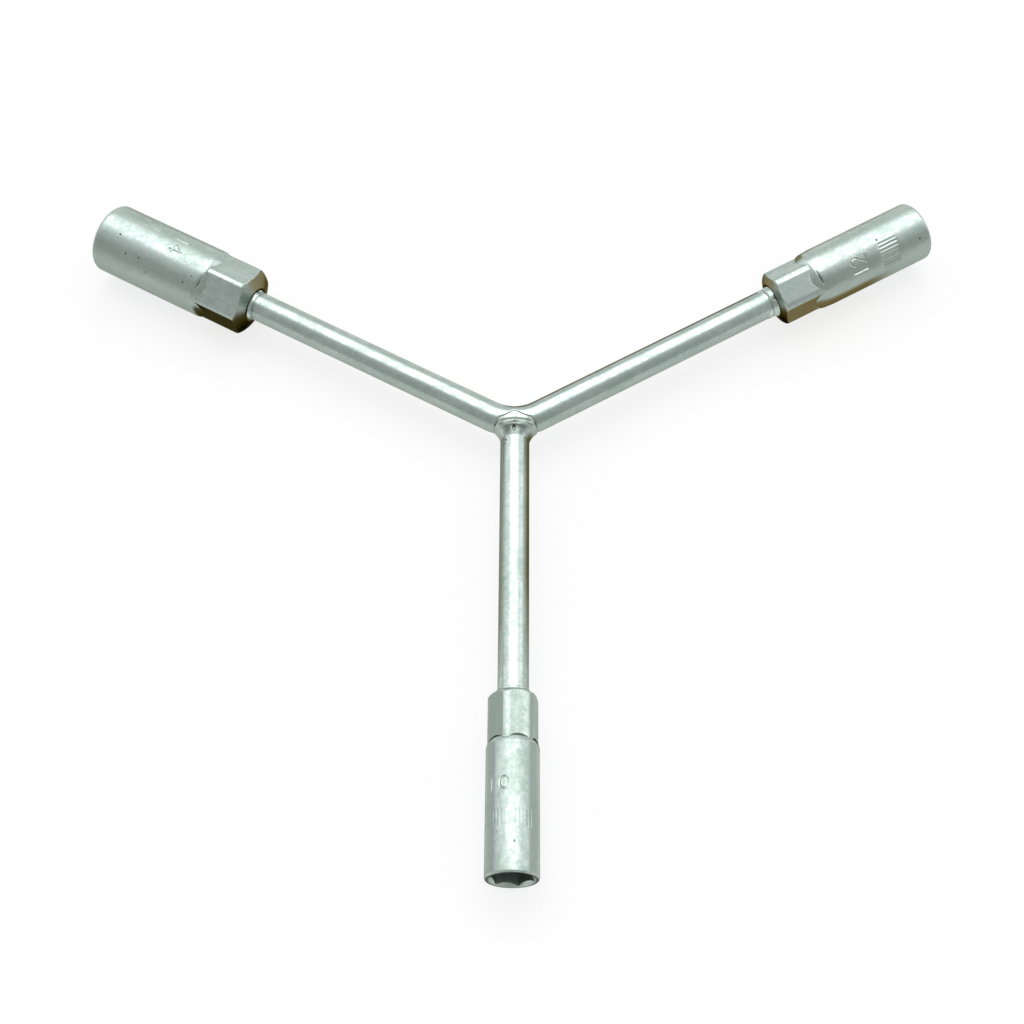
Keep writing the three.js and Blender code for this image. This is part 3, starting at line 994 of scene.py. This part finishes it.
def socket_painted_light(size, north, under_shade, under_end, far_shade, far_share):
    """Painted brown and dark reflections below the shank and on its back cone, and painted shade on the
    lower flanks and the far side of the barrel. North is
    1 where the arm's left side is turned from the camera, and -1 where its right side is."""
    arm = Arm(HUB, size.bearing)
    cone_end = [size.bar_reach + place for place in CONE_PAINT_END]
    barrel_place = size.bar_reach + size.shank_length
    barrel = [barrel_place + place for place in BARREL_PAINT_START]
    near_side = arm.direction(0, 0, -north)
    return (
        painted_film(DOWN, *FLANK_TURN, 0.9, SIDE_SHADE_COLOUR),
        painted_film(arm.direction(0, 0.62, -0.78 * north), 0.93, 0.99, 0.45, SIDE_SHADE_COLOUR, start=barrel),
        painted_film(DOWN, -0.2, 0.0, 0.97, under_shade, end=under_end, side=near_side),
        painted_film(arm.direction(0, 0.47, 0.88 * north), 0.88, 0.98, far_share, far_shade),
        painted_film(arm.direction(-0.85, 0.15, 0.5 * north), 0.8, 0.93, 0.85, OLIVE_REFLECTION_COLOUR, end=cone_end),
        painted_film(arm.direction(-0.85, -0.4, -0.3 * north), 0.8, 0.95, 0.97, DARK_SHADE_COLOUR, end=cone_end),
    )


def shoulder_painted_reflection(arm):
    """Painted olive reflection on the far side of the 12 mm socket's shoulder."""
    shoulder = SOCKET_12.bar_reach + SOCKET_12.shank_length
    way = arm.direction(-0.35, 0.6, 0.72)
    return (painted_film(way, 0.94, 0.985, 0.85, OLIVE_REFLECTION_COLOUR, start=(shoulder - 1, shoulder)),)


def slim_socket_painted_shade(stem):
    """Painted shade on the third socket's flanks and top, and dark painted shade on its shoulder, its
    step and its rim.
    """
    flanks = [stem.direction(0, 0.62, side) for side in (-0.78, 0.78)]
    step_sides = [stem.direction(-0.8, 0, side) for side in (-0.6, 0.6)]
    return (
        painted_film(DOWN, -0.78, -0.6, 0.3, SIDE_SHADE_COLOUR),
        painted_film((0, 0, 1), 0.9, 0.99, 0.16, SIDE_SHADE_COLOUR, start=(98, 100)),
        *(painted_film(way, 0.955, 0.995, 0.85, SIDE_SHADE_COLOUR) for way in flanks),
        painted_film(stem.direction(0, 0.961, 0.276), 0.993, 0.998, 0.3, SIDE_SHADE_COLOUR, end=(96, 96.5)),
        painted_film(stem.direction(-1, 0, 0), 0.28, 0.45, 0.75, STEP_SHADE_COLOUR, *SLIM_STEP),
        *(painted_film(way, 0.62, 0.74, 0.9, STEP_SHADE_COLOUR, *SLIM_STEP) for way in step_sides),
        painted_film(stem.direction(0.9, -0.45, 0), 0.6, 0.95, 0.75, DARK_SHADE_COLOUR),
        painted_film(stem.direction(-0.5, 0.1, 0.85), 0.85, 0.98, 0.7, DARK_SHADE_COLOUR),
    )


def bend_painted_light():
    """Painted shade on the lower flanks, and a painted brown reflection along the bend's far edge."""
    return (
        painted_film(DOWN, *FLANK_TURN, 0.75, SIDE_SHADE_COLOUR),
        painted_film(towards(102, 31), 0.84, 0.93, 0.92, BROWN_REFLECTION_COLOUR),
    )


def stem_painted_light(stem):
    """Painted shade on the lower flanks, and painted brown reflections down both sides of the stem."""
    east = stem.direction(0, 0.15, 0.98)
    west = stem.direction(0, 0.5, -0.86)
    return (
        painted_film(DOWN, *FLANK_TURN, 0.75, SIDE_SHADE_COLOUR),
        painted_film(east, 0.70, 0.97, 0.95, STRIP_REFLECTION_COLOUR, (1, 4), (45, 92)),
        painted_film(west, 0.945, 0.985, 0.55, STRIP_REFLECTION_COLOUR, (3, 6), (60, 84)),
    )


def weld_painted_shade(stem):
    """Painted shade in bands across the hub weld's crown, on its toe, and at both sides of its last
    step.
    """
    upward = stem.direction(0.2, 0.98, 0)
    sideways = [stem.direction(0.1, 0.88, turned) for turned in (-0.42, 0.42)]
    return (
        painted_film(upward, 0.7, 0.9, 0.75, TOE_SHADE_COLOUR, (-0.7, -0.2), (1.3, 1.6)),
        painted_film(upward, 0.7, 0.9, 0.88, TOE_SHADE_COLOUR, (1.85, 2.1), (4.6, 6.2)),
        *(painted_film(way, 0.91, 0.975, 0.75, TOE_SHADE_COLOUR, (1.1, 1.4), (1.9, 2.2)) for way in sideways),
    )


# Dents on the barrels: their places along the arm and their angles round it, in degrees
DENT_WIDTH = 0.42
LEFT_DENTS = ((136.8, 19.8), (132.4, 43.9), (127.7, 41.4), (124.3, 58.9), (110.9, 46.6), (108.5, 32.3))
RIGHT_DENTS = ((136.7, -48.6), (123.5, -14.3))
SLIM_DENTS = ((125.25, 6.7),)

# Dents on the bars and the hub weld, as spot_share takes them
STEM_DENTS = ((6.2, STEM_BAR_RADIUS, -37, 0.45), (7.4, STEM_BAR_RADIUS, -40, 0.35))
CROWN_DENTS = ((0.75, 4.9, 0, 0.4),)


def barrel_dents(size, places):
    radius = worked_out(size).barrel_radius
    return [(place, radius, angle, DENT_WIDTH) for place, angle in places]


def hub_dents_and_crater_shade():
    """The painted shade on the crater's bottom, the two dents near it on the stem, and the one on the
    crown.
    """
    crater = [(place, CRATER.floor, CRATER.spots_angle, width) for place, width in CRATER.spots]
    return (*crater, *STEM_DENTS, *CROWN_DENTS)


def plated_materials():
    """Every piece's own plate: its name, roughness, mottle and share of painted shade in its creases,
    its arm, and the painted shade, painted reflections and dents that the photo shows on it."""
    left, right, stem = (Arm(HUB, size.bearing) for size in SOCKETS)
    level = Arm(HUB, 0)
    # Painted shade and painted reflections for each piece
    left_painted = socket_painted_light(SOCKET_14, -1, DARK_SHADE_COLOUR, LEFT_PAINT_END, FAR_SHADE_COLOUR, 0.5)
    right_painted = socket_painted_light(SOCKET_12, 1, OLIVE_REFLECTION_COLOUR, RIGHT_PAINT_END, OLIVE_REFLECTION_COLOUR, 0.4)
    right_painted = right_painted + shoulder_painted_reflection(right)
    slim_painted = slim_socket_painted_shade(stem)
    stem_painted = stem_painted_light(stem)
    hub_painted = stem_painted + weld_painted_shade(stem)
    left_dents = barrel_dents(SOCKET_14, LEFT_DENTS)
    right_dents = barrel_dents(SOCKET_12, RIGHT_DENTS)
    slim_dents = barrel_dents(SOCKET_10, SLIM_DENTS)
    rows = (
        ("arm_bar", "plated_arm_bar", 0.26, 0.5, 0.9, level, bend_painted_light(), ()),
        ("stem_bar", "plated_stem_bar", 0.26, 0.6, 0.4, stem, stem_painted, STEM_DENTS),
        ("hub_weld", "plated_hub_weld", 0.25, 0.5, 0.9, stem, hub_painted, hub_dents_and_crater_shade()),
        (SOCKET_14.node, "satin_socket_14mm", 0.31, 0.5, 0.5, left, left_painted, left_dents),
        (SOCKET_12.node, "satin_socket_12mm", 0.31, 0.5, 0.5, right, right_painted, right_dents),
        (SOCKET_10.node, "satin_socket_10mm", 0.38, 0.35, 0.25, stem, slim_painted, slim_dents),
        (SOCKET_14.weld_node, "plated_weld_14mm", 0.27, 0.5, 0.35, left, (), ()),
        (SOCKET_12.weld_node, "plated_weld_12mm", 0.27, 0.5, 0.6, right, (), ()),
        (SOCKET_10.weld_node, "plated_weld_10mm", 0.27, 0.5, 0.3, stem, (), ()),
    )
    return {node: plated_material(*given) for node, *given in rows}


# Floor, light and camera

# Lengths are in metres, but for the camera's lens and sensor, which are in millimetres
FLOOR_HALF_WIDTH = 40.0
FLOOR_COLOUR = colour(0.95, 0.95, 0.95)
FLOOR_LIFT = 0.78
CAMERA_FROM_HUB = Vector((12.935, -257.54, 391.62)) * MM
CAMERA_DEPRESSION = math.radians(59.59)
CAMERA_HEADING = math.radians(3.39)
CAMERA_ROLL = math.radians(-3.5)
CAMERA_LENS = 57.33
SENSOR_WIDTH = 36
NEAREST_VIEW = 0.01


def pale_floor():
    """A flat floor that runs on well past the camera's view."""
    mesh = bpy.data.meshes.new("floor")
    half = FLOOR_HALF_WIDTH
    corners = [(-half, -half, 0), (half, -half, 0), (half, half, 0), (-half, half, 0)]
    mesh.from_pydata(corners, [], [(0, 1, 2, 3)])
    floor = bpy.data.objects.new("floor", mesh)
    bpy.context.scene.collection.objects.link(floor)
    mesh.materials.append(floor_material())


def floor_material():
    """Matte white, lifted a little towards the white of the backdrop wherever it is looked at."""
    material = bpy.data.materials.new("pale_floor")
    material.use_nodes = True
    nodes = Nodes(material.node_tree)
    matte = nodes.add("ShaderNodeBsdfDiffuse", Color=FLOOR_COLOUR)
    white = nodes.add("ShaderNodeEmission", Color=colour(1, 1, 1), Strength=1.0)
    rays = nodes.tree.nodes.new("ShaderNodeLightPath")
    seen = nodes.math("MAXIMUM", rays.outputs["Is Camera Ray"], rays.outputs["Is Glossy Ray"])
    seen = nodes.math("MAXIMUM", seen, rays.outputs["Is Transmission Ray"])
    lift = nodes.times(seen, FLOOR_LIFT)
    mixed = nodes.add("ShaderNodeMixShader", i0=lift, i1=matte, i2=white)
    nodes.add("ShaderNodeOutputMaterial", output=None, Surface=mixed)
    return material


# The soft light round the object: where each patch of it is, how far its full part and its edge
# reach in degrees, and how bright it is
SKY_LEVEL = 0.62
LIGHT_PATCHES = (
    (towards(265, 15), 45, 80, 0.46),
    (towards(88, 3), 18, 36, 0.8),
    (towards(146, 34), 9, 28, 1.25),
    (towards(23, 31), 9, 26, 1.45),
    (towards(88, 69), 24, 36, 2.3),
)


def soft_world():
    """An even sky with the soft patches of light in it."""
    world = bpy.data.worlds.new("studio")
    bpy.context.scene.world = world
    world.use_nodes = True
    nodes = Nodes(world.node_tree)
    where = nodes.add("ShaderNodeTexCoord", "Generated")
    level = SKY_LEVEL
    for direction, inner, outer, strength in LIGHT_PATCHES:
        facing = nodes.vector("DOT_PRODUCT", where, direction, "Value")
        edge, full = (math.cos(math.radians(angle)) for angle in (outer, inner))
        share = nodes.ramp(facing, edge, full)
        change = nodes.math("SUBTRACT", strength, level)
        level = nodes.math("MULTIPLY_ADD", share, change, level)
    background = nodes.add("ShaderNodeBackground", Color=colour(1.0, 1.0, 1.0), Strength=level)
    nodes.add("ShaderNodeOutputWorld", output=None, Surface=background)


def photo_camera():
    """The camera where the photo was taken from, with the photo's own tilt."""
    camera = bpy.data.objects.new("camera", bpy.data.cameras.new("camera"))
    bpy.context.scene.collection.objects.link(camera)
    camera.data.lens = CAMERA_LENS
    camera.data.sensor_width = SENSOR_WIDTH
    camera.data.clip_start = NEAREST_VIEW
    turn = Matrix.Rotation(CAMERA_HEADING, 4, "Z")
    tip = Matrix.Rotation(math.pi / 2 - CAMERA_DEPRESSION, 4, "X")
    roll = Matrix.Rotation(CAMERA_ROLL, 4, "Z")
    place = Matrix.Translation(Vector(HUB * MM) + CAMERA_FROM_HUB)
    camera.matrix_world = place @ turn @ tip @ roll
    bpy.context.scene.camera = camera


def build():
    plates = plated_materials()
    for size in SOCKETS:
        socket_piece(size, plates[size.node])
        neck_weld_piece(size, plates[size.weld_node])
    arm_bar_piece(plates["arm_bar"])
    stem_bar_piece(plates["stem_bar"])
    hub_weld_piece(plates["hub_weld"])
    pale_floor()
    soft_world()
    photo_camera()
    bpy.context.scene.view_settings.view_transform = "Standard"


build()
